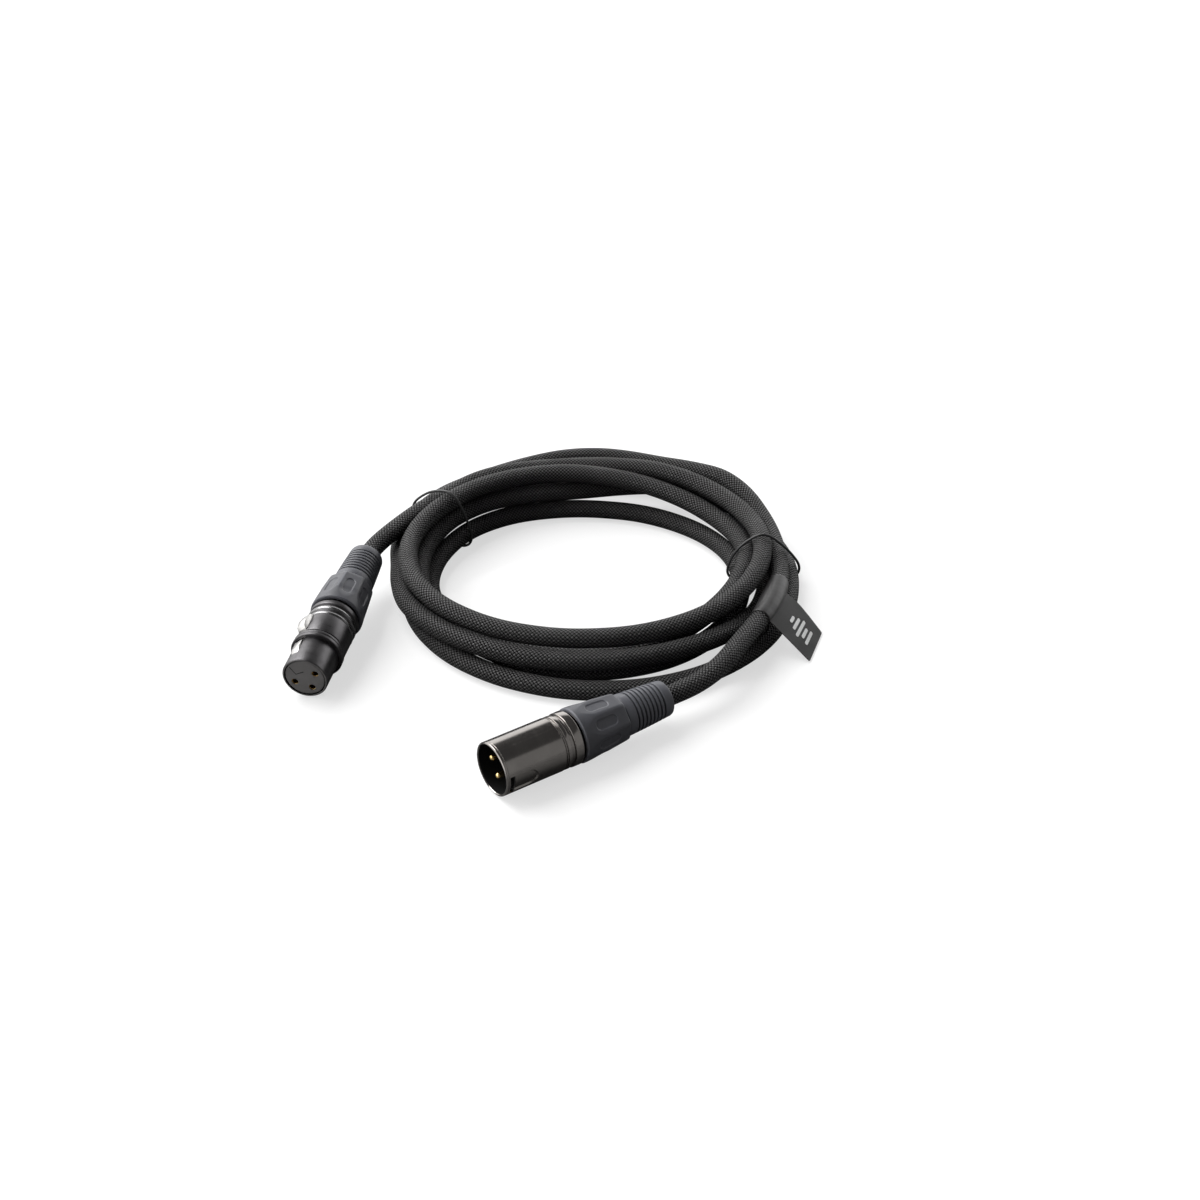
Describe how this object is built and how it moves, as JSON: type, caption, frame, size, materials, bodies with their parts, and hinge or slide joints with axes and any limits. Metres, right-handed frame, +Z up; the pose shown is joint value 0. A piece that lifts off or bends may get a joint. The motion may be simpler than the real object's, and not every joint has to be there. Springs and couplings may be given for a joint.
{
  "type": "coiled xlr microphone cable",
  "caption": "Coiled black braided microphone cable with male and female three-pole connectors, two tie loops and a label tag.",
  "frame": {"origin": "centre of the whole object's footprint, on the plane it lies on", "axes": "+Z up; -X out of the male connector's rim; +Y away from the male connector towards the rest of the coil"},
  "size_m": [0.217, 0.1818, 0.0244],
  "materials": {
    "braid": "woven, matt",
    "cord": "matt",
    "label": "smooth, matt",
    "shell": "dark metallic, glossy",
    "insert": "moulded",
    "gold": "gold-plated, polished",
    "boot": "fine moulded texture",
    "chuck": "moulded",
    "steel": "satin",
    "wire_red": "smooth",
    "wire_white": "smooth",
    "copper": "bare stranded"
  },
  "bodies": {
    "coil": {"cable_coil": "braid", "tie_left": "cord", "tie_right": "cord", "label_sleeve": "label"},
    "label_flag": {"label_flag": "label"},
    "male_tail": {"cable_male_tail": "braid"},
    "male_plug": {"male_shell": "shell", "male_insert": "insert", "male_pin_1": "gold", "male_pin_2": "gold", "male_pin_3": "gold", "male_chuck": "chuck", "cable_male_end": "braid", "male_wire_1": "wire_red", "male_wire_2": "wire_white", "male_drain_wire": "copper"},
    "male_relief": {"male_relief": "boot"},
    "male_collar": {"male_collar": "boot"},
    "female_tail": {"cable_female_tail": "braid"},
    "female_plug": {"female_shell": "shell", "female_insert": "insert", "female_socket_1": "gold", "female_socket_2": "gold", "female_socket_3": "gold", "female_chuck": "chuck", "cable_female_end": "braid", "female_wire_1": "wire_red", "female_wire_2": "wire_white", "female_drain_wire": "copper", "latch_spring": "steel"},
    "latch": {"latch_lever": "steel"},
    "female_relief": {"female_relief": "boot"},
    "female_collar": {"female_collar": "boot"}
  },
  "joints": [
    {"name": "male_tail_swing", "type": "hinge", "parent": "coil", "child": "male_tail", "pos_m": [0.04635, -0.0672, 0.01238], "axis": [0, 0, 1], "range_deg": [0, 25]},
    {"name": "male_plug_bend", "type": "hinge", "parent": "male_tail", "child": "male_plug", "pos_m": [0.00504, -0.08114, 0.01052], "axis": [0, 0, 1], "range_deg": [-4, 30]},
    {"name": "male_relief_slide", "type": "slide", "parent": "male_plug", "child": "male_relief", "axis": [1, 0, 0], "range_m": [0, 0.004]},
    {"name": "male_collar_turn", "type": "hinge", "parent": "male_relief", "child": "male_collar", "pos_m": [-0.07645, -0.08085, 0.01029], "axis": [1, 0, 0], "range_deg": [0, 1440]},
    {"name": "female_tail_swing", "type": "hinge", "parent": "coil", "child": "female_tail", "pos_m": [-0.01007, 0.07433, 0.01665], "axis": [0.1078, -0.2664, 0.9578], "range_deg": [-25, 0]},
    {"name": "female_plug_bend", "type": "hinge", "parent": "female_tail", "child": "female_plug", "pos_m": [-0.04075, 0.06191, 0.01543], "axis": [0, 0, 1], "range_deg": [-30, 4]},
    {"name": "latch_press", "type": "hinge", "parent": "female_plug", "child": "latch", "pos_m": [-0.08767, 0.02582, 0.01678], "axis": [0.4929, -0.5883, 0.641], "range_deg": [0, 3.5], "stiffness_Nm_per_rad": 0.01, "deforming": ["latch_spring"]},
    {"name": "female_relief_slide", "type": "slide", "parent": "female_plug", "child": "female_relief", "axis": [0.723, 0.6868, 0.0744], "range_m": [0, 0.004]},
    {"name": "female_collar_turn", "type": "hinge", "parent": "female_relief", "child": "female_collar", "pos_m": [-0.10279, 0.00472, 0.00904], "axis": [0.723, 0.6868, 0.0744], "range_deg": [0, 1440]},
    {"name": "label_flap", "type": "hinge", "parent": "coil", "child": "label_flag", "pos_m": [0.06566, -0.06245, 0.01099], "axis": [-0.8279, -0.5608, 0], "range_deg": [0, 35]}
  ],
  "couplings": [
    {"joint": "male_collar_turn", "follows": "male_relief_slide", "rad_per_m": 6283.2},
    {"joint": "female_collar_turn", "follows": "female_relief_slide", "rad_per_m": 6283.2}
  ]
}
